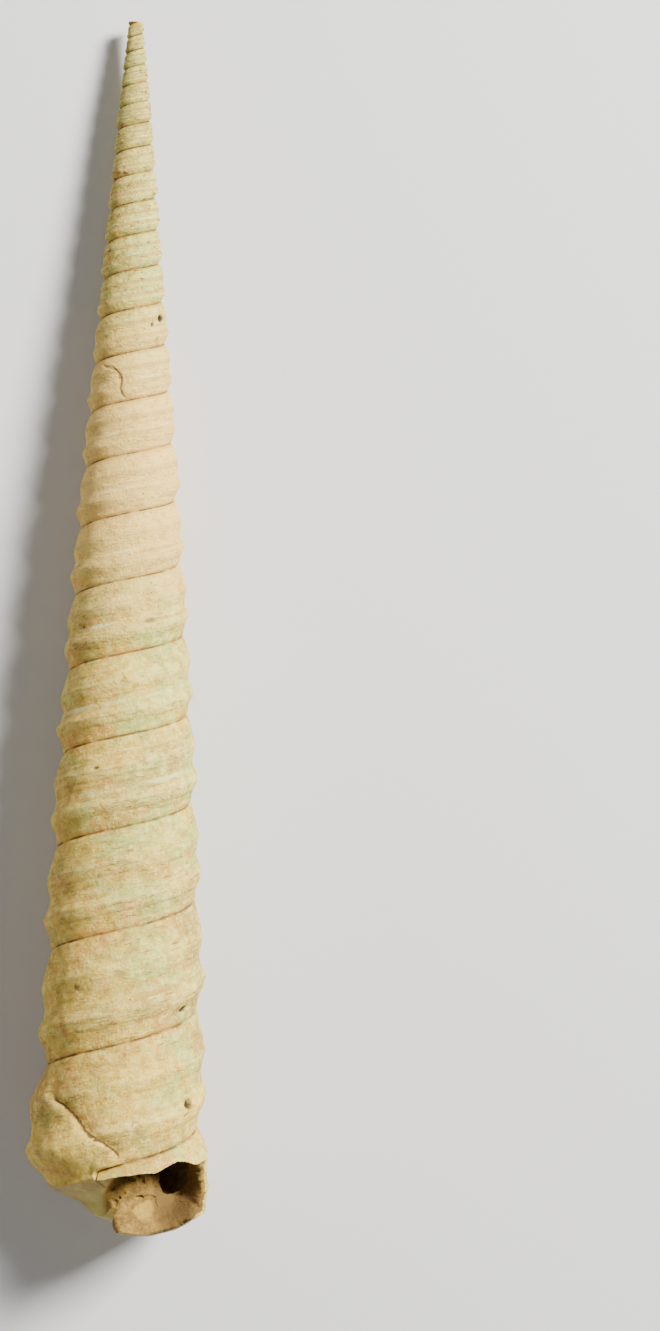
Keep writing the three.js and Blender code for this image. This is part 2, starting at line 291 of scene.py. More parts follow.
def side_height(turn):
    """Height of the whorl's side, down to its lower suture or to the edge of the base."""
    whole = suture_drop(turn - 1) - suture_drop(turn)
    last = curve(BASE_EDGE_SHARES, turn) * (spiral_drop(turn - 1) - spiral_drop(turn))
    return np.where(turn >= 1 + LIP_END_TURN, whole, last)


def around(turn, radius, height):
    """Points at a radius and height, turned from the front to the right."""
    angle = 2 * np.pi * turn
    return np.stack([radius * np.sin(angle), height + 0 * angle, radius * np.cos(angle)], axis=-1)


def line_distance(across, along, line):
    """Distance from flat points to a line of points."""
    best = np.full(np.shape(across), 1e9)
    for (x0, y0), (x1, y1) in zip(line[:-1], line[1:]):
        dx, dy = x1 - x0, y1 - y0
        t = np.clip(((across - x0) * dx + (along - y0) * dy) / (dx * dx + dy * dy), 0, 1)
        best = np.minimum(best, np.hypot(across - x0 - t * dx, along - y0 - t * dy))
    return best


def size_at(turn):
    """The height of the whorl's side and the way round it at one turn."""
    turn = np.array(turn)
    return float(side_height(turn)), 2 * np.pi * float(curve(SUTURE_RADII, suture_drop(turn)))


def whorl_relief(turn, place, drop, flat, wear, lumps):
    """The keels, threads, ribs, growth lines and lumps on the whorls."""
    scale = drop / LAST_SUTURE_DROP
    last = turn < 1 + LIP_END_TURN
    relief = curve(WHORL_RELIEF, np.where(last & (place > RELIEF_END), RELIEF_END, place))
    by_lip = 0.8 * smoothstep(-turn, -0.45, -0.3) * smoothstep(place, 0.2, 0.55)
    relief = relief + (KEEL_BY_LIP - relief) * by_lip
    keel = KEEL_SHARE * drop * (UPPER_KEEL - KEEL_LOSS * scale) * relief * (1 + 0.3 * wear)

    # Fine spiral threads, uneven and worn away in patches, and ribs on the upper whorls
    threads = 0
    for count, sway, start, strength in THREADS:
        threads = threads + strength * np.sin(2 * np.pi * (count * place + sway * wear + start))
    kept = 0.35 + 0.65 * smoothstep(noise(flat, 7.0, 11, 2), -0.55, 0.35)
    keel = keel + THREAD_HEIGHT * scale**0.55 * threads * kept * smoothstep(place, 0.02, 0.08)
    ribs = np.cos(2 * np.pi * (RIBS * place + 0.5 + 0.08 * wear))
    keel = keel + RIB_HEIGHT * scale**0.4 * ribs * smoothstep(-scale, -0.62, -0.35)

    # Growth lines, which lean back across the whorl, and uneven wear
    growth = turn * GROWTH_LINES + 1.6 * np.sin(3.0 * place + 0.6) + 1.2 * noise(flat, 4.0, 19, 2)
    lines = np.sin(2 * np.pi * growth) * smoothstep(noise(flat, 5.0, 23, 2), -0.2, 0.5)
    grain = noise(flat, 0.6, 31, 2) * smoothstep(scale, 0.05, 0.3)
    keel = keel + GROWTH_LINE_HEIGHT * scale * lines + GRAIN_HEIGHT * grain
    return keel + LUMP_HEIGHT * scale**0.6 * lumps


def last_turn_spread(turn, place, flat):
    """The flare behind the healed break, the groove of the break and the thin end at the lip."""
    last = turn < 1 + LIP_END_TURN
    degrees = (turn - 1) * 360
    behind = curve(CRACK_LINE, place) - degrees
    step = 0.5 * smoothstep(behind, 0, 3.0) + 0.5 * smoothstep(behind, 0, 32)
    full = curve(FLARES, turn) * smoothstep(place, 0, 0.3) * (1 - 0.45 * smoothstep(place, 0.72, 1))
    near = (turn < 1.02) & (turn > -0.3)
    flare = np.where(near, full * step, 0)
    flare = flare - LIP_THINNING * (1 - smoothstep(turn, LIP_END_TURN, LIP_THINNING_END))
    edge = smoothstep(place, 0.8, 1)
    spread = np.where(last, flare * (1 - edge) + curve(BASE_EDGE_SPREADS, turn) * edge, flare)
    crack = [(math.radians(a) * LAST_RADIUS, p * LAST_HEIGHT) for p, a in zip(*CRACK_LINE)]
    gap = line_distance(np.radians(degrees) * LAST_RADIUS, place * LAST_HEIGHT, crack)
    gap = gap + 0.1 * noise(flat, 1.6, 41, 2)
    groove = np.exp(-((gap / CRACK_HALF_WIDTH) ** 2)) * smoothstep(place, 0.24, 0.4) * near
    return spread - CRACK_DEPTH * groove


def lip_folds(turn, place, flat):
    """Coarse folds behind the lip."""
    sway = 3.5 * np.sin(7 * place + 0.8) + 2.5 * noise(flat, 3.0, 47, 2)
    phase = (turn * 360 + sway - FOLD_FIRST_ANGLE) / FOLD_STEP
    inside = smoothstep(phase, -0.8, 0.2) * smoothstep(-phase, -FOLD_COUNT - 0.2, -FOLD_COUNT + 0.8)
    fold = (np.cos(2 * np.pi * phase) ** 3 - 0.1) * inside * smoothstep(place, 0.3, 0.46)
    return np.where(turn < 1 + LIP_END_TURN, FOLD_HEIGHT * fold * (1 - smoothstep(place, 0.95, 1)), 0)


def pits_and_cracks(turn, place, core, lumps):
    """How deep the pits and fine cracks are, and how dark."""
    sunk, dark = 0 * core, 0 * core
    for pit_turn, pit_place, half_width, half_height, depth in PITS:
        round_it = (turn - pit_turn) * 2 * np.pi * core / half_width
        along_it = (place - pit_place) * size_at(pit_turn)[0] / half_height
        reach = np.exp(-((round_it**2 + along_it**2) ** 1.5) * (1 + 0.5 * lumps))
        sunk = sunk + depth * reach
        dark = np.maximum(dark, np.clip(reach * min(2, depth * 4), 0, 1))
    for line, width, depth in CRACKS:
        middle = line[0][0]
        size, girth = size_at(middle)
        points = [((t - middle) * girth, p * size) for t, p in line]
        gap = line_distance((turn - middle) * girth, place * size, points) + 0.5 * width * lumps
        cut = np.exp(-((gap / width) ** 2))
        sunk = sunk + depth * cut
        dark = np.maximum(dark, 0.6 * cut)
    return sunk, dark


def suture_groove(turn, place, scale, wear, lumps):
    """How deep the fine groove of the suture is, and how dark where it gapes behind the last turn."""
    height = side_height(turn)
    last = turn < 1 + LIP_END_TURN
    low = np.where(last, place, np.minimum(place, 1 - place)) * height
    line = np.exp(-((low / (0.12 + 0.1 * scale)) ** 2))
    sunk, dark = SUTURE_DEPTH * scale**0.6 * line * (0.75 + 0.5 * wear), 0 * line
    start, end, half, depth = SUTURE_SLOT
    for shift in (0, 1):
        open_here = smoothstep(turn - shift, start, start + 0.03)
        open_here = open_here * smoothstep(shift - turn, -end, -end + 0.03)
        to_slot = np.where(shift, 1 - place, place) * height / half
        slot = open_here * np.exp(-(to_slot**2) * (1 + 0.8 * lumps))
        sunk = sunk + depth * slot
        dark = np.maximum(dark, slot)
    return sunk, dark


def side_points(turn, place):
    """Points of the shell's outside, with all its relief, and how dark the pits and gaps are there."""
    turn, place = np.broadcast_arrays(np.asarray(turn, float), np.asarray(place, float))
    drop = suture_drop(turn) + place * side_height(turn)
    core = curve(SUTURE_RADII, drop)
    flat = around(turn, core, CLOSING_HEIGHT - drop)
    scale = drop / LAST_SUTURE_DROP
    wear = noise(flat, 5.5 * (0.35 + 0.65 * scale)[..., None], 3, 3)
    lumps = noise(flat, 1.7 * (0.4 + 0.6 * scale)[..., None], 5, 3)
    radius = core + whorl_relief(turn, place, drop, flat, wear, lumps)
    radius = radius + last_turn_spread(turn, place, flat) + lip_folds(turn, place, flat)
    pitted, pits_dark = pits_and_cracks(turn, place, core, lumps)
    grooved, groove_dark = suture_groove(turn, place, scale, wear, lumps)
    points = around(turn, radius - pitted - grooved, CLOSING_HEIGHT - drop)
    return points, np.maximum(pits_dark, groove_dark)


def spire_mesh():
    """The closed coiled outside: sections down the spire, each sewn to the section a turn above."""
    sections = int(round((TOP_TURN - LIP_END_TURN) * SEGMENTS))
    turns = LIP_END_TURN + (sections - np.arange(sections + 1)) / SEGMENTS
    rows = [max((t, r) for t, r in ROWS_FROM_TURN if turn >= t)[1] for turn in turns]
    starts = np.concatenate([[0], np.cumsum(rows)])
    turn_of = np.repeat(turns, rows)
    place_of = np.concatenate([np.arange(r) / r for r in rows])
    last = np.arange(sections - SEGMENTS + 1, sections + 1)
    turn_of = np.concatenate([turn_of, turns[last]])
    place_of = np.concatenate([place_of, np.ones(SEGMENTS)])
    points, _dark = side_points(turn_of, place_of)
    points = list(points)

    def corner(section, row):
        if row < rows[section]:
            return starts[section] + row
        above = section + SEGMENTS
        return starts[above] if above <= sections else starts[-1] + section - (sections - SEGMENTS + 1)

    faces = []
    for section in range(sections):
        near, far = rows[section], rows[section + 1]
        for row in range(near):
            a, b = corner(section, row), corner(section, row + 1)
            if near == far:
                faces.append((a, b, corner(section + 1, row + 1), corner(section + 1, row)))
                continue
            c, d, e = (corner(section + 1, 2 * row + i) for i in range(3))
            faces += [(a, d, c), (a, b, d), (b, e, d)]

    # Close the top
    points.append(np.array([0, points[0][1] + 0.1, 0]))
    top = len(points) - 1
    faces += [(top, corner(k, 0), corner(k + 1, 0)) for k in range(SEGMENTS)]
    faces += [(top, corner(0, row + 1), corner(0, row)) for row in range(rows[0])]

    # Close the base in rings from its edge to its lowest point
    spokes = range(sections - SEGMENTS, sections + 1)
    edge_index = [corner(section, rows[section]) for section in spokes]
    edge = np.array([points[i] for i in edge_index])
    reach = np.linalg.norm(edge - BASE_POLE, axis=1)
    rings = [edge_index]
    full = 0.85 - 0.13 * smoothstep(edge[:, 0], -7, 4)
    for share in np.arange(1, BASE_RINGS) / BASE_RINGS:
        ring = edge + share * (BASE_POLE - edge)
        ring[:, 1] -= BASE_BULGE * full * reach * np.sin(np.pi * share**1.05)
        ring[:, 1] -= BASE_LUMPS * noise(ring, 2.4, 61, 3) * math.sin(math.pi * share)
        ridge = np.sin(2 * np.pi * BASE_RIDGES * share + 0.5 * noise(ring, 5.0, 62, 2))
        ring[:, 1] -= BASE_RIDGE_HEIGHT * ridge * (1 - share)
        ring[:, 1] = np.maximum(ring[:, 1], curve(BASE_FOOT, ring[:, 0]))
        rings.append(list(range(len(points), len(points) + len(ring))))
        points += list(ring)
    points.append(BASE_POLE)
    pole = len(points) - 1
    for outer, inner in zip(rings, rings[1:]):
        faces += [(outer[i], inner[i], inner[i + 1], outer[i + 1]) for i in range(SEGMENTS)]
    faces += [(rings[-1][i], pole, rings[-1][i + 1]) for i in range(SEGMENTS)]

    # Close the end of the last turn
    for outer, inner in zip(rings, rings[1:]):
        faces.append((outer[0], outer[-1], inner[-1], inner[0]))
    faces.append((rings[-1][0], rings[-1][-1], pole))
    ends = [corner(sections, row) for row in range(rows[-1] + 1)]
    faces += [(ends[0], ends[row], ends[row + 1]) for row in range(1, rows[-1])]
    return np.array(points), faces


def loft(rings):
    """A closed tube through rings with equal numbers of points."""
    count = len(rings[0])
    points = [p for ring in rings for p in ring]
    faces = []
    for k in range(len(rings) - 1):
        for i in range(count):
            j = (i + 1) % count
            faces.append((k * count + i, k * count + j, (k + 1) * count + j, (k + 1) * count + i))
    faces.append(tuple(reversed(range(count))))
    faces.append(tuple(range((len(rings) - 1) * count, len(rings) * count)))
    return np.array(points), faces


def read_points(mesh):
    """The points of a mesh, in millimetres."""
    points = np.zeros(len(mesh.vertices) * 3)
    mesh.vertices.foreach_get("co", points)
    return points.reshape(-1, 3) / MM


def write_points(mesh, points):
    """Moves the points of a mesh to new places, in millimetres."""
    mesh.vertices.foreach_set("co", (points * MM).ravel())
    mesh.update()


def surface_tree(obj):
    """The surface of an object, for finding points on it."""
    points = [vertex.co for vertex in obj.data.vertices]
    return BVHTree.FromPolygons(points, [face.vertices for face in obj.data.polygons])


def on_surface(points, tree):
    """Which points lie on a surface."""
    found = (tree.find_nearest(Vector(p) * MM, TOUCHING * MM)[0] for p in points)
    return np.array([place is not None for place in found])


def sight_depth(shell, across, up):
    """How far forward the shell's outside is at each point seen from the front, or BESIDE it."""
    tree = surface_tree(shell)
    depth = np.full(across.shape, float(BESIDE))
    for index in np.ndindex(across.shape):
        start = Vector((across[index], up[index], SIGHT_START)) * MM
        hit = tree.ray_cast(start, Vector((0, 0, -1)))[0]
        if hit is not None:
            depth[index] = hit.z / MM
    return depth


def nearest(points, others):
    """The distance to the nearest of the others from each point of a row, and which one it is."""
    gaps = np.hypot(*(points[:, None, :2] - others[None, :, :2]).T)
    return gaps.min(axis=0), gaps.argmin(axis=0)


def sediment_depth(across, up, outside):
    """How far forward the sediment in the mouth reaches, with its hole, lump, crack and pits."""
    flat = np.stack([across, up, 0 * up], -1)
    level = np.minimum(SEDIMENT_LEVEL - SEDIMENT_SLOPE * (across - 2), outside - LEAST_SINK)
    level = level + 0.35 * noise(flat, 1.8, 71, 3) + 0.1 * noise(flat, 0.5, 72, 2)
    x, y, wide, tall, depth = HOLE
    away = np.hypot((across - x) / wide, (up - y) / tall)
    level = level - depth * np.exp(-(away**2))
    x, y, radius, rise = LUMP
    away = np.hypot(across - x, up - y) / radius + 0.4 * noise(flat, 1.1, 74, 2)
    level = level + rise * np.sqrt(np.clip(1 - away**2, 0, 1))
    arc = np.exp(-(((away - 1.25) / 0.12) ** 2)) * smoothstep(up, y, y + 0.6)
    pits = smoothstep(noise(flat, 0.45, 77, 1), 0.4, 0.65) * smoothstep(up, 2.4, 4.5)
    pits = pits * smoothstep(away, 1.3, 1.5)
    return level - LUMP_CRACK_DEPTH * arc - SEDIMENT_PIT_DEPTH * pits


def mouth_depth(across, up, outside):
    """How far forward the shell stays at each point under the rim of the mouth, seen from the front."""
    flat = np.stack([across, up, 0 * up], -1)
    missed = outside == BESIDE
    seen, seen_depth = flat[~missed], outside[~missed]
    beside = flat[missed & (across > 0)]
    outside = outside.copy()
    for row in np.nonzero(missed.any(axis=1))[0]:
        here = np.nonzero(missed[row])[0]
        outside[row, here] = seen_depth[nearest(flat[row, here], seen)[1]]
    below = curve(RIM, across) - up
    ring = np.maximum(BASE_RIM_RADIUS - np.maximum(below, 0) / BASE_SLOPE, COLUMELLA_FOOT)
    beyond = np.maximum(np.abs(across) - ring, 0)
    cone = np.sqrt(np.maximum(ring**2 - across**2, 0)) - BASE_FALL * beyond - 0.12 * noise(flat, 2.0, 63, 3)

    # The bowl of the mouth falls in from the thin lip to the sediment
    from_lip = np.stack([nearest(row, beside)[0] for row in flat]) - LIP_WIDTH
    from_lip = from_lip + 0.05 * noise(flat, 1.6, 67, 2)
    bowl = np.sin(np.pi / 2 * np.clip(from_lip / BOWL_REACH, 0, 1)) ** 0.75
    inner = outside + (sediment_depth(across, up, outside) - outside) * bowl
    inner = inner + LIP_CLEARANCE * smoothstep(-from_lip, -0.02, 0.25)
    left = smoothstep(across - curve(MOUTH_LEFT_EDGE, up), 0, MOUTH_EDGE_WIDTH)
    return cone + (inner - cone) * left


def opening_mesh(shell):
    """What has broken away in front: a block with its back shaped to the mouth and the base cone."""
    across = np.linspace(*OPENING_SIDES, OPENING_COLUMNS)
    by_rim = np.linspace(0, OPENING_RIM_SHARE, OPENING_RIM_ROWS)[:-1]
    share = np.concatenate([by_rim, np.linspace(OPENING_RIM_SHARE, 1, OPENING_ROWS)])
    ragged = 0.1 * noise(np.stack([across, 0 * across, 0 * across], -1), 0.9, 79, 3)
    rim = curve(RIM, across) + ragged
    up = rim[None, :] + share[:, None] * (OPENING_FOOT - rim)[None, :]
    wide = np.broadcast_to(across, up.shape)
    outside = sight_depth(shell, wide, up)
    back = mouth_depth(wide, up, outside)
    rows, columns = up.shape
    behind = np.stack([wide, up, back], -1).reshape(-1, 3)
    front = np.stack([wide, up, np.full(up.shape, OPENING_FRONT)], -1).reshape(-1, 3)
    faces = []
    for i in range(rows - 1):
        for j in range(columns - 1):
            a, b = i * columns + j, i * columns + j + 1
            c, d = a + columns, b + columns
            faces += [(a, b, d, c), tuple(rows * columns + k for k in (c, d, b, a))]
    border = [(0, j) for j in range(columns)] + [(i, columns - 1) for i in range(1, rows)]
    border += [(rows - 1, j) for j in range(columns - 2, -1, -1)] + [(i, 0) for i in range(rows - 2, 0, -1)]
    around_it = [i * columns + j for i, j in border]
    for a, b in zip(around_it, around_it[1:] + around_it[:1]):
        faces.append((b, a, rows * columns + a, rows * columns + b))
    return np.concatenate([behind, front]), faces


def hollow_mesh():
    """The hollow behind the lip, narrowing to the face of the sediment."""
    rings = []
    for degrees in np.linspace(HOLLOW_SCALES[0][0], HOLLOW_SCALES[0][-1], HOLLOW_RINGS):
        turn = np.array(degrees / 360)
        suture = float(CLOSING_HEIGHT - suture_drop(turn))
        edge = suture - float(side_height(turn))
        wall = float(curve(SUTURE_RADII, LAST_SUTURE_DROP))

        def floor_at(radius):
            return edge + (BASE_POLE[1] - edge) * (wall - radius) / (wall - BASE_POLE[0]) + 0.1

        shape = [
            (wall - 0.7, suture - 0.8),
            (wall, suture - 2),
            (wall + 0.15, (suture + edge) / 2),
            (wall - 0.3, edge + 0.4),
            (wall - 1.8, floor_at(wall - 1.8)),
            (4, floor_at(4)),
            (2.2, 0.9),
            (COLUMELLA_RADIUS, 1.8),
            (COLUMELLA_RADIUS, suture - 4.4),
            (4.5, suture - 2.6),
        ]
        scale = float(curve(HOLLOW_SCALES, degrees))
        centre = np.array([HOLLOW_CENTRE[0], suture - HOLLOW_CENTRE[1]])
        counts = [3, 4, 4, 3, 4, 4, 3, 6, 6, 6]
        outline = []
        for here, after, count in zip(shape, shape[1:] + shape[:1], counts):
            here, after = np.array(here, float), np.array(after, float)
            outline += [here + (after - here) * i / count for i in range(count)]
        points = np.array([around(turn, *(centre + (p - centre) * scale)) for p in outline])
        rough = np.stack([noise(points, 1.3, seed, 3) for seed in (83, 84, 85)], -1)
        rings.append(points + HOLLOW_ROUGHNESS * rough)
    return loft(rings)


def object_from(name, points, faces):
    """A mesh object from points in millimetres."""
    mesh = bpy.data.meshes.new(name)
    points = (np.asarray(points) * MM).tolist()
    mesh.from_pydata(points, [], [tuple(int(i) for i in face) for face in faces])
    obj = bpy.data.objects.new(name, mesh)
    bpy.context.scene.collection.objects.link(obj)
    work = bmesh.new()
    work.from_mesh(mesh)
    bmesh.ops.recalc_face_normals(work, faces=work.faces)
    bmesh.ops.triangulate(work, faces=work.faces)
    work.to_mesh(mesh)
    work.free()
    return obj


def choose(obj):
    """Selects one object and makes it active."""
    bpy.ops.object.select_all(action="DESELECT")
    obj.select_set(True)
    bpy.context.view_layer.objects.active = obj


def cut_away(obj, other):
    """Cuts another object out of this one and removes it."""
    choose(obj)
    modifier = obj.modifiers.new("boolean", "BOOLEAN")
    modifier.solver = "MANIFOLD"
    modifier.operation = "DIFFERENCE"
    modifier.object = other
    bpy.ops.object.modifier_apply(modifier=modifier.name)
    bpy.data.objects.remove(other)


def broken_point():
    """The block that breaks off the point of the spire, with a rough lower face."""
    bpy.ops.object.select_all(action="DESELECT")
    cells = {"x_subdivisions": POINT_CELLS, "y_subdivisions": POINT_CELLS}
    bpy.ops.mesh.primitive_grid_add(size=POINT_WIDTH * MM, **cells)
    block = bpy.context.object
    bpy.ops.object.mode_set(mode="EDIT")
    bpy.ops.mesh.select_all(action="SELECT")
    bpy.ops.mesh.extrude_region_move(TRANSFORM_OT_translate={"value": (0, 0, POINT_HEIGHT * MM)})
    bpy.ops.mesh.select_all(action="SELECT")
    bpy.ops.mesh.normals_make_consistent(inside=False)
    bpy.ops.object.mode_set(mode="OBJECT")
    co = read_points(block.data)
    low = co[:, 2] < 1
    length = bpy.context.scene.fossil.length / MM
    points = np.stack([co[:, 0], co[:, 2] + length, -co[:, 1]], -1)
    dent = 0.22 * noise(points, 0.8, 91, 2) + 0.18 * (points[:, 0] ** 2 + points[:, 2] ** 2 - 0.2)
    points[:, 1] += np.where(low, np.minimum(dent, 0.06) - 0.02, 0)
    write_points(block.data, points)
    return block


def rest_matrix():
    """From the upright shell, front towards +Z, to the shell lying on the floor."""
    roll = Matrix.Rotation(math.radians(REST_ROLL), 4, "Y")
    tilt = Matrix.Rotation(-math.radians(REST_TILT), 4, "X")
    return Matrix.Translation(Vector(REST_SHIFT) * MM) @ tilt @ roll


def share_round(points):
    """How far round the axis points are, from 0 at the front to 1."""
    return (np.arctan2(points[:, 0], points[:, 2]) / (2 * np.pi)) % 1


def room_at(turn):
    """The height of the whorl's side, never less than a little."""
    return np.maximum(side_height(np.maximum(turn, LIP_END_TURN)), LEAST_SIDE)


def whorl_of(points):
    """The turn and the place across the whorl of points, found from where they are."""
    angle = share_round(points)
    drop = CLOSING_HEIGHT - points[:, 1]
    turn, place = angle.copy(), np.zeros(len(points))
    for whole in range(-1, HIGHEST_TURN):
        here = whole + angle
        top = suture_drop(here)
        height = room_at(here)
        inside = (drop >= top) & (here >= LIP_END_TURN)
        inside &= (drop < top + height) | (here < 1 + LIP_END_TURN)
        turn = np.where(inside, here, turn)
        place = np.where(inside, (drop - top) / height, place)
    return turn, place


def face_corners(mesh, points):
    """The point of each face corner, the face that it belongs to, and the middles of the faces."""
    counts = len(mesh.polygons)
    corners = np.zeros(len(mesh.loops), np.int32)
    mesh.loops.foreach_get("vertex_index", corners)
    totals = np.zeros(counts, np.int32)
    mesh.polygons.foreach_get("loop_total", totals)
    owner = np.repeat(np.arange(counts), totals)
    centre = np.zeros((counts, 3))
    np.add.at(centre, owner, points[corners])
    return corners, owner, centre / totals[:, None]


def lump_mask(points):
    """1 on the pale lump of sediment and on the rim of the columella."""
    x, y, radius, _rise = LUMP
    across, up, _front = points.T
    away = np.hypot(across - x, up - y) + 0.4 * noise(points * (1, 1, 0), 1.1, 74, 2)
    left = across - curve(MOUTH_LEFT_EDGE, up)
    rim = np.exp(-(((left + 0.6) / 1.2) ** 2)) * smoothstep(-up, -6.0, -4.5)
    return np.clip(0.45 * smoothstep(-away, -radius, 0.25 - radius) + 0.7 * rim, 0, 1)


def paint_masks(mesh, points, corners, opened, hollowed):
    """Masks for the finish: where the sutures, crests, pits, base and inside of the mouth are, and where
    shade is painted in the mouth, over its hole and at its lower right.
    """
    across, up, front = points.T
    turn, place = whorl_of(points)
    clipped = np.clip(place, 0, 1)
    _surface, dark = side_points(turn, clipped)
    drop = CLOSING_HEIGHT - up
    last = turn < 1 + LIP_END_TURN
    low = np.minimum(clipped, np.where(last, 1, 1 - clipped)) * side_height(turn)
    scale = drop / LAST_SUTURE_DROP
    suture = np.exp(-((low / (0.1 + 0.14 * scale)) ** 2))
    on_side = ~(opened | hollowed)
    left = smoothstep(across - curve(MOUTH_LEFT_EDGE, up), 0, 0.7)
    inside = np.where(hollowed, 1, opened * left[corners])
    under = smoothstep(place, 1.0, 1.02) * last
    # Painted shade in the mouth: a dark patch over the hole, and darkening further back and higher up inside
    # it
    x, y, wide, tall, _depth = HOLE
    hole = np.exp(-(((across - x) / wide) ** 2 + ((up - y + 1.2) / (1.15 * tall)) ** 2))
    sunk = smoothstep(-front, -2.2, 1.5) * smoothstep(up, 2.0, 5.0)
    away = np.maximum(0.4 * sunk, hole)
    # Painted shade on the lower right of the mouth, where its wall falls in shadow
    right = smoothstep(across, 2.6, 5.4) * smoothstep(-up, -5.5, -2.5)
    masks = {
        "suture": (suture * (place <= 1))[corners] * on_side,
        "crest": np.clip(curve(WHORL_RELIEF, clipped), 0, 1)[corners] * on_side,
        "dark": (dark * (place <= 1))[corners] * on_side,
        "inside": inside,
        "deep": opened * inside * away[corners],
        "base": np.where(on_side, under[corners], 1 - inside),
        "rise": np.clip(up / SHELL_HEIGHT, 0, 1)[corners],
        "pale": lump_mask(points)[corners],
        "warm": opened * right[corners],
    }
    for name, values in masks.items():
        layer = mesh.attributes.new(name, "FLOAT", "CORNER")
        layer.data.foreach_set("value", np.asarray(values, np.float32))


def unwrap(mesh, points, corners, owner, centre):
    """A map whose U runs along the coil in turns and whose V runs across each whorl."""
    turn, _place = whorl_of(centre)
    base = turn[owner]
    near = base + (share_round(points)[corners] - base + 0.5) % 1 - 0.5
    drop = CLOSING_HEIGHT - points[corners, 1]
    place = (drop - suture_drop(near)) / room_at(near)
    layer = mesh.uv_layers.new(name="Coil")
    layer.data.foreach_set("uv", np.stack([near, place], -1).astype(np.float32).ravel())


def colour_setting(name, description, colour):
    """A colour that can be changed in the panel."""
    limits = {"min": 0, "max": 1}
    return FloatVectorProperty(name=name, description=description, default=colour, subtype="COLOR", **limits)


class FossilSettings(bpy.types.PropertyGroup):
    """Sizes, colours and lights of the fossil"""

    length: FloatProperty(name="Length", description="Length of the shell", default=0.1262, unit="LENGTH")
    smooth_angle: FloatProperty(
        name="Smooth angle", description="Largest angle shaded smooth", default=0.9, subtype="ANGLE"
    )
    grain_height: FloatProperty(name="Grain", description="Its height", default=0.0004, unit="LENGTH")
    cream: colour_setting("Cream", "Main colour", (0.78, 0.51, 0.08))
    tan: colour_setting("Tan", "Stained colour", (0.44, 0.27, 0.06))
    green: colour_setting("Green", "Pale green tint", (0.46, 0.54, 0.13))
    pink: colour_setting("Pink", "Pink-orange tint", (0.78, 0.35, 0.09))
    peach: colour_setting("Peach", "Pale band below the upper whorls", (1.0, 0.62, 0.17))
    white: colour_setting("White", "Worn crests", (0.96, 0.77, 0.22))
    chalk: colour_setting("Chalk", "Palest ridges", (1.0, 0.92, 0.5))
    brown: colour_setting("Brown", "Sediment in the mouth", (0.2, 0.115, 0.025))
    # Dark colour of sutures, cracks and marks, also mixed into the painted shade in the mouth
    soot_and_shade: colour_setting("Dark", "Sutures and cracks", (0.09, 0.045, 0.015))
    pit: colour_setting("Pit", "Middle of the pits", (0.025, 0.014, 0.006))
    grey: colour_setting("Grey", "The base", (0.44, 0.36, 0.17))
    floor: colour_setting("Floor", "The table", (0.72, 0.71, 0.69))
    key_power: FloatProperty(name="Key light", description="Its power", default=18, unit="POWER")
    fill_power: FloatProperty(name="Fill light", description="Its power", default=1.2, unit="POWER")
    world_light: FloatProperty(name="Surroundings", description="Light from all round", default=0.18, min=0)


class FOSSIL_OT_shell(bpy.types.Operator):
    """Build the shell"""

    bl_idname = "fossil.shell"
    bl_label = "Shell"

    def execute(self, context):
        shell = object_from("turret_shell", *spire_mesh())
        cutters = [object_from("opening", *opening_mesh(shell)), object_from("hollow", *hollow_mesh())]
        walls = [surface_tree(cutter) for cutter in cutters]
        for cutter in cutters:
            cut_away(shell, cutter)
        cut_away(shell, broken_point())
        choose(shell)
        bpy.ops.object.mode_set(mode="EDIT")
        bpy.ops.mesh.select_all(action="SELECT")
        bpy.ops.mesh.remove_doubles(threshold=MERGED * MM)
        bpy.ops.mesh.normals_make_consistent(inside=False)
        bpy.ops.object.mode_set(mode="OBJECT")
        mesh = shell.data
        points = read_points(mesh)
        if not len(points):
            raise RuntimeError("the shell has no mesh")
        while mesh.uv_layers:
            mesh.uv_layers.remove(mesh.uv_layers[0])
        corners, owner, centre = face_corners(mesh, points)
        paint_masks(mesh, points, corners, *(on_surface(centre, wall)[owner] for wall in walls))
        unwrap(mesh, points, corners, owner, centre)
        mesh.transform(rest_matrix())
        laid = read_points(mesh)
        laid[:, 2] = np.maximum(laid[:, 2], 0)
        write_points(mesh, laid)
        choose(shell)
        bpy.ops.object.shade_smooth_by_angle(angle=context.scene.fossil.smooth_angle)
        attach(shell, "root")
        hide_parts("shell")
        return {"FINISHED"}


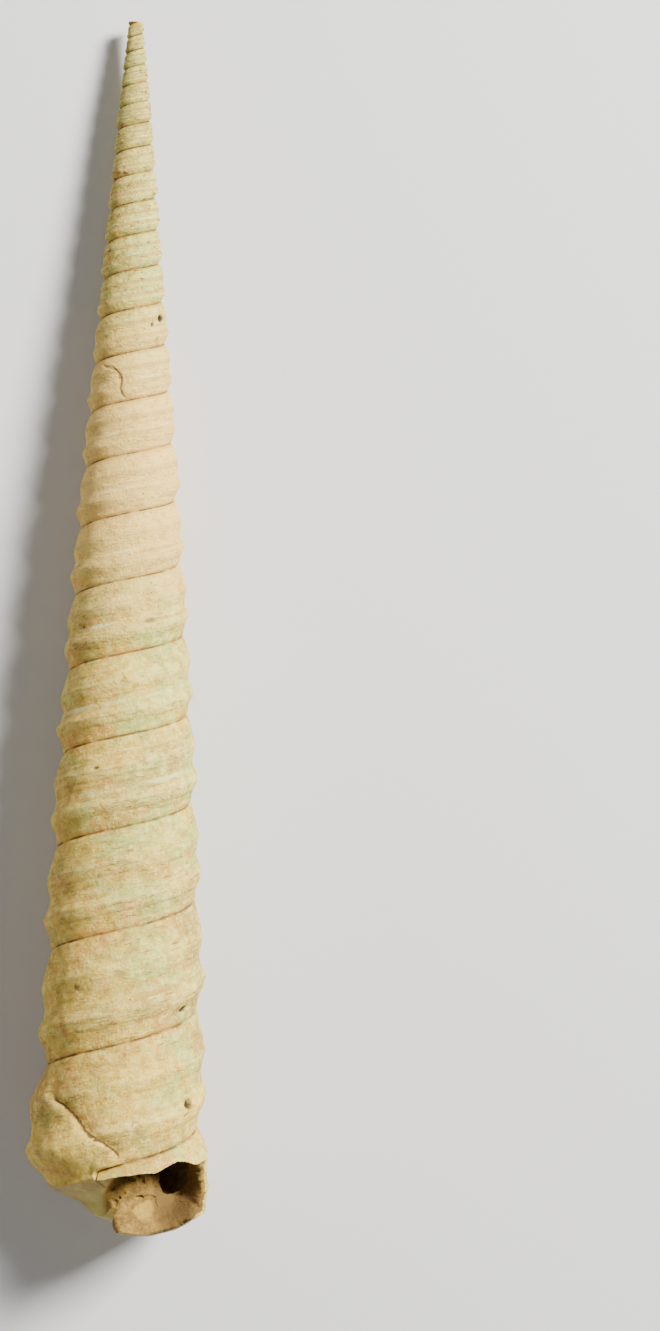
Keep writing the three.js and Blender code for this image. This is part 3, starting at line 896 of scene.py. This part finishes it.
class Graph:
    """Short calls for building a node material."""

    def __init__(self, tree, colours, paint):
        self.tree = tree
        self.nodes = tree.nodes
        self.colours = colours
        self.paint = paint
        self.count = 0
        middle = self.add("ShaderNodeTexCoord").outputs["Object"]
        coil = self.add("ShaderNodeUVMap", uv_map="Coil").outputs["UV"]
        self.vectors = {"place": self.stretched(middle, (1 / MM, 1 / MM, 1 / MM)), "coil": coil}

    def add(self, kind, **inputs):
        """A new node, with its inputs and settings given by name."""
        node = self.nodes.new(kind)
        self.count += 1
        node.location = ((self.count % 12) * 220, -(self.count // 12) * 260)
        for key, value in inputs.items():
            name = key.replace("_", " ")
            if hasattr(node, key) and name not in node.inputs:
                setattr(node, key, value)
            else:
                self.feed(node.inputs[name], value)
        return node

    def feed(self, socket, value):
        """Links an output to a socket, or sets the socket's own value."""
        if isinstance(value, bpy.types.NodeSocket):
            self.tree.links.new(value, socket)
        else:
            socket.default_value = value

    def math(self, operation, a, b=0.0):
        node = self.add("ShaderNodeMath", operation=operation)
        self.feed(node.inputs[0], a)
        self.feed(node.inputs[1], b)
        return node.outputs[0]

    def times(self, a, b):
        return self.math("MULTIPLY", a, b)

    def plus(self, a, b):
        return self.math("ADD", a, b)

    def minus(self, a, b):
        return self.math("SUBTRACT", a, b)

    def apart(self, a, b):
        """How far two values are apart."""
        return self.math("ABSOLUTE", self.minus(a, b))

    def pattern(self, name):
        """One of the noise patterns of the finish, from 0 to 1."""
        follows, stretch, scale, detail, rough = PATTERNS[name]
        vector = self.vectors[follows]
        if stretch:
            vector = self.stretched(vector, stretch)
        node = self.add("ShaderNodeTexNoise", Scale=scale, Detail=detail, Roughness=rough, Vector=vector)
        return node.outputs["Fac"]

    def ramp(self, value, low, high, out_low=0.0, out_high=1.0):
        """A smooth step from one number to another as a value goes from low to high."""
        node = self.add("ShaderNodeMapRange", interpolation_type="SMOOTHSTEP")
        for socket, given in zip(node.inputs, (value, low, high, out_low, out_high)):
            self.feed(socket, given)
        return node.outputs[0]

    def mix(self, amount, below, above):
        """A colour laid over another by an amount. The colours of the settings are given by name."""
        node = self.add("ShaderNodeMix", data_type="RGBA")
        self.feed(node.inputs[0], amount)
        for index, given in ((6, below), (7, above)):
            self.feed(node.inputs[index], self.colours[given] if isinstance(given, str) else given)
        return node.outputs[2]

    def lay(self, amount, above):
        """Lays a colour over the paint by an amount."""
        self.paint = self.mix(amount, self.paint, above)

    def mask(self, name):
        """One of the masks painted on the mesh."""
        return self.add("ShaderNodeAttribute", attribute_name=name).outputs["Fac"]

    def stretched(self, vector, scale):
        node = self.add("ShaderNodeMapping", Vector=vector)
        node.inputs["Scale"].default_value = scale
        return node.outputs[0]


class FOSSIL_OT_finish(bpy.types.Operator):
    """Give the shell its stony, mottled finish"""

    bl_idname = "fossil.finish"
    bl_label = "Finish"

    def execute(self, context):
        settings = context.scene.fossil
        colours = {name: (*getattr(settings, name), 1.0) for name in TINTS}
        shell = bpy.data.objects["turret_shell"]
        material = bpy.data.materials.new("fossil_shell")
        material.use_nodes = True
        material.node_tree.nodes.clear()
        g = Graph(material.node_tree, colours, "cream")
        rise, suture, crest, dark = (g.mask(name) for name in ("rise", "suture", "crest", "dark"))
        inside, deep, base = (g.mask(name) for name in ("inside", "deep", "base"))
        split = g.add("ShaderNodeSeparateXYZ", Vector=g.vectors["place"])
        right = g.ramp(split.outputs["X"], -9, 9)
        coil = g.add("ShaderNodeSeparateXYZ", Vector=g.vectors["coil"])
        turned, across = coil.outputs["X"], coil.outputs["Y"]
        broad, streak, blotch = (g.pattern(name) for name in ("broad", "streak", "blotch"))

        # Broad colour: cream, browner to the left and low down, greener at the right and the point
        stained = g.plus(broad, g.times(g.pattern("fine"), 0.5))
        g.lay(g.ramp(stained, 0.66, 0.92, 0, 0.85), "tan")
        lean = g.plus(g.times(right, 0.14), g.times(rise, 0.22))
        g.lay(g.ramp(g.plus(g.pattern("green"), lean), 0.58, 0.8, 0, 0.8), "green")
        pink = g.minus(g.plus(g.pattern("pink"), g.times(suture, 0.12)), g.times(right, 0.06))
        g.lay(g.ramp(pink, 0.5, 0.66, 0, 0.62), "pink")
        glow = g.times(g.ramp(rise, 0.48, 0.6, 0, 0.75), g.ramp(rise, 0.8, 0.68))
        g.lay(glow, "peach")

        # Streaks along the whorls, worn pale on the crests and stained in the hollows
        banded = g.times(crest, g.ramp(rise, 0.1, 0.8, 0.22, 0.4))
        worn = g.plus(banded, g.times(streak, 0.8))
        g.lay(g.ramp(worn, 0.52, 0.78, 0, 0.5), "white")
        g.lay(g.ramp(g.pattern("stain"), 0.58, 0.74, 0, 0.34), "tan")
        g.lay(g.ramp(blotch, 0.49, 0.64, 0, 0.6), "white")
        g.lay(g.ramp(blotch, 0.49, 0.37, 0, 0.7), "tan")
        dashes = g.times(g.ramp(g.pattern("dash"), 0.585, 0.65), g.ramp(broad, 0.4, 0.56))
        g.lay(g.times(dashes, 0.55), "soot_and_shade")
        g.lay(g.ramp(g.pattern("scratch"), 0.57, 0.68, 0, 0.6), "white")
        g.lay(g.ramp(g.pattern("grit"), 0.45, 0.32, 0, 0.8), "tan")

        # Painted shade in the grooves between the ribs and dark marks on the upper whorls, and a pale band
        # below them
        ribs = g.math("COSINE", g.times(across, 2 * math.pi * RIBS))
        rib_groove_shade = g.times(g.ramp(ribs, 0.1, 0.95), g.ramp(rise, 0.42, 0.7, 0, 0.6))
        g.lay(rib_groove_shade, "tan")
        marked = g.times(g.ramp(g.pattern("marks"), 0.555, 0.61), g.ramp(rise, 0.66, 0.8, 0.1, 0.8))
        g.lay(marked, "soot_and_shade")
        ridge = g.times(g.ramp(g.apart(across, 0.57), 0.035, 0.012), g.ramp(g.pattern("chalky"), 0.5, 0.6))
        ridge = g.times(ridge, g.ramp(rise, 0.25, 0.5, 0.2, 0.85))
        g.lay(ridge, g.mix(0.35, "chalk", "green"))
        glow = g.times(g.ramp(rise, 0.48, 0.6, 0, 0.35), g.ramp(rise, 0.8, 0.68))
        g.lay(glow, "peach")

        # The base, the sediment, and painted shade over the hole and on the lower right of the mouth
        pale = g.mask("pale")
        g.lay(g.times(base, g.ramp(blotch, 0.38, 0.62, 0.9, 0.4)), "grey")
        g.lay(g.times(g.times(pale, base), 0.8), g.mix(0.35, "white", "green"))
        soil = g.mix(g.ramp(g.pattern("soil"), 0.4, 0.7), "brown", "tan")
        soil = g.mix(g.ramp(g.pattern("crust"), 0.48, 0.75, 0, 0.3), soil, "cream")
        soil = g.mix(pale, soil, "cream")
        # Painted shade darkens the sediment at the lower right of the mouth
        soil = g.mix(g.times(g.mask("warm"), 0.9), soil, g.mix(0.6, "brown", "soot_and_shade"))
        soil = g.mix(0.2, soil, "brown")
        g.lay(inside, soil)
        # Painted shade over the hole and deep in the mouth, in dark brown
        g.lay(g.ramp(deep, 0.02, 0.5, 0, 0.85), g.mix(0.4, "brown", "soot_and_shade"))

        # The thin dark lines of the healed break and of the cracks
        wobble = g.times(g.minus(g.pattern("wobble"), 0.5), 0.008)
        healed = [(1 + degrees / 360, at) for at, degrees in zip(*CRACK_LINE)]
        for drawn, half, strength in [(healed, 0.0042, 0.9)] + [(crack[0], 0.0065, 0.8) for crack in CRACKS]:
            whole = float(math.floor(drawn[0][0]))
            bend = g.add("ShaderNodeFloatCurve", Value=across)
            for turn, at in drawn:
                bend.mapping.curves[0].points.new(at, turn - whole)
            bend.mapping.update()
            gap = g.minus(g.minus(turned, whole), bend.outputs[0])
            gap = g.math("ABSOLUTE", g.plus(gap, wobble))
            first, final = drawn[0][1], drawn[-1][1]
            ends = g.times(g.ramp(across, first, first + 0.06), g.ramp(across, final + 0.05, final))
            crack = g.times(g.ramp(gap, half, 0.4 * half), ends)
            g.lay(g.times(crack, strength), "soot_and_shade")

        # Dark sutures, broken here and there, and pits, a thin line of painted shade above each keel, and
        # specks
        line = g.times(g.ramp(suture, 0.45, 0.95), g.ramp(g.pattern("gaps"), 0.36, 0.58, 0.25, 1))
        g.lay(g.times(line, 0.85), "soot_and_shade")
        g.lay(g.ramp(dark, 0.15, 0.8, 0, 0.7), "soot_and_shade")
        ragged = g.times(g.minus(g.pattern("ragged"), 0.5), 1.6)
        for pit_turn, pit_place, half_width, half_height, depth in PITS:
            size, girth = size_at(pit_turn)
            scales = (girth / half_width, size / half_height, 0)
            middle = (-pit_turn * scales[0], -pit_place * scales[1], 0)
            pit = g.add("ShaderNodeMapping", Vector=g.vectors["coil"], Location=middle)
            pit.inputs["Scale"].default_value = scales
            away = g.add("ShaderNodeVectorMath", operation="LENGTH")
            g.feed(away.inputs[0], pit.outputs[0])
            away = g.plus(away.outputs["Value"], ragged)
            reach = g.ramp(away, 1.1, 0.45, 0, min(0.92, 2.2 * depth))
            g.lay(reach, "pit")
        # Painted shade: a thin tan line along each whorl, just above its keel, broken here and there
        groove_line_shade = g.times(g.ramp(g.apart(across, 0.62), 0.03, 0.008), g.ramp(g.pattern("groove_line_shade"), 0.45, 0.62))
        g.lay(g.times(groove_line_shade, 0.45), "tan")
        cells = g.add("ShaderNodeTexVoronoi", Vector=g.vectors["place"], Scale=1.1, Randomness=1.0)
        speck = g.ramp(cells.outputs["Distance"], 0.1, 0.04)
        speck = g.times(speck, g.ramp(g.pattern("speckled"), 0.5, 0.62))
        g.lay(g.times(speck, 0.7), "soot_and_shade")

        # Fine roughness of the surface
        height = g.plus(g.times(g.pattern("grain"), 0.5), g.times(streak, 0.5))
        height = g.minus(height, g.times(speck, 0.8))
        bump = g.add("ShaderNodeBump", Strength=1.0, Distance=settings.grain_height, Height=height)
        shader = g.add("ShaderNodeBsdfPrincipled", Roughness=0.82, Base_Color=g.paint, Normal=bump.outputs[0])
        shader.inputs["Specular IOR Level"].default_value = 0.25
        out = g.add("ShaderNodeOutputMaterial")
        g.feed(out.inputs["Surface"], shader.outputs[0])
        shell.data.materials.clear()
        shell.data.materials.append(material)
        return {"FINISHED"}


class FOSSIL_OT_stage(bpy.types.Operator):
    """Add the table, the light and the camera"""

    bl_idname = "fossil.stage"
    bl_label = "Stage"

    def execute(self, context):
        scene = context.scene
        bpy.ops.object.select_all(action="DESELECT")
        bpy.ops.mesh.primitive_plane_add(size=TABLE_WIDTH, location=(0, 0, 0))
        floor = context.object
        floor.name = "table"
        material = bpy.data.materials.new("table")
        material.use_nodes = True
        shader = material.node_tree.nodes["Principled BSDF"]
        shader.inputs["Base Color"].default_value = (*scene.fossil.floor, 1)
        shader.inputs["Roughness"].default_value = 0.9
        floor.data.materials.append(material)

        world = bpy.data.worlds.new("studio")
        world.use_nodes = True
        background = world.node_tree.nodes["Background"]
        background.inputs["Color"].default_value = (1, 1, 1, 1)
        background.inputs["Strength"].default_value = scene.fossil.world_light
        scene.world = world
        for name, spot, size, power in LIGHTS:
            bpy.ops.object.light_add(type="AREA", location=spot)
            light = context.object
            light.name = name
            light.data.size = size
            light.data.energy = getattr(scene.fossil, power)
            light.rotation_euler = (-Vector(spot)).to_track_quat("-Z", "Y").to_euler()

        lean = math.radians(AXIS_LEAN)
        across = (FRAME_PIXELS[0] / 2 - SHELL_FOOT_PIXEL[0]) / PIXELS_PER_MM
        along = (SHELL_FOOT_PIXEL[1] - FRAME_PIXELS[1] / 2) / PIXELS_PER_MM
        turned = Matrix.Rotation(-math.radians(REST_TILT), 4, "X") @ Matrix.Rotation(lean, 4, "Z")
        spot = turned @ Vector((across, along, CAMERA_DISTANCE)) * MM
        camera_data = bpy.data.cameras.new("camera")
        camera = bpy.data.objects.new("camera", camera_data)
        scene.collection.objects.link(camera)
        camera.matrix_world = Matrix.Translation(spot + Vector(REST_SHIFT) * MM) @ turned
        camera_data.sensor_width = SENSOR
        camera_data.lens = SENSOR * CAMERA_DISTANCE / (FRAME_PIXELS[1] / PIXELS_PER_MM)
        camera_data.clip_start = 0.01
        scene.camera = camera
        return {"FINISHED"}


class FOSSIL_PT_panel(bpy.types.Panel):
    """Sizes, colours and the build steps"""

    bl_idname = "FOSSIL_PT_panel"
    bl_label = "Fossil turret shell"
    bl_space_type = "VIEW_3D"
    bl_region_type = "UI"
    bl_category = "Fossil"

    def draw(self, context):
        for name in FossilSettings.__annotations__:
            self.layout.prop(context.scene.fossil, name)
        for step in STEPS:
            self.layout.operator(step.bl_idname)


STEPS = (FOSSIL_OT_shell, FOSSIL_OT_finish, FOSSIL_OT_stage)


def register():
    for cls in (FossilSettings, *STEPS, FOSSIL_PT_panel):
        bpy.utils.register_class(cls)
    bpy.types.Scene.fossil = PointerProperty(type=FossilSettings)


def unregister():
    del bpy.types.Scene.fossil
    for cls in reversed((FossilSettings, *STEPS, FOSSIL_PT_panel)):
        bpy.utils.unregister_class(cls)


def main():
    register()
    bpy.ops.fossil.shell()
    bpy.ops.fossil.finish()
    bpy.ops.fossil.stage()


if __name__ == "__main__":
    main()
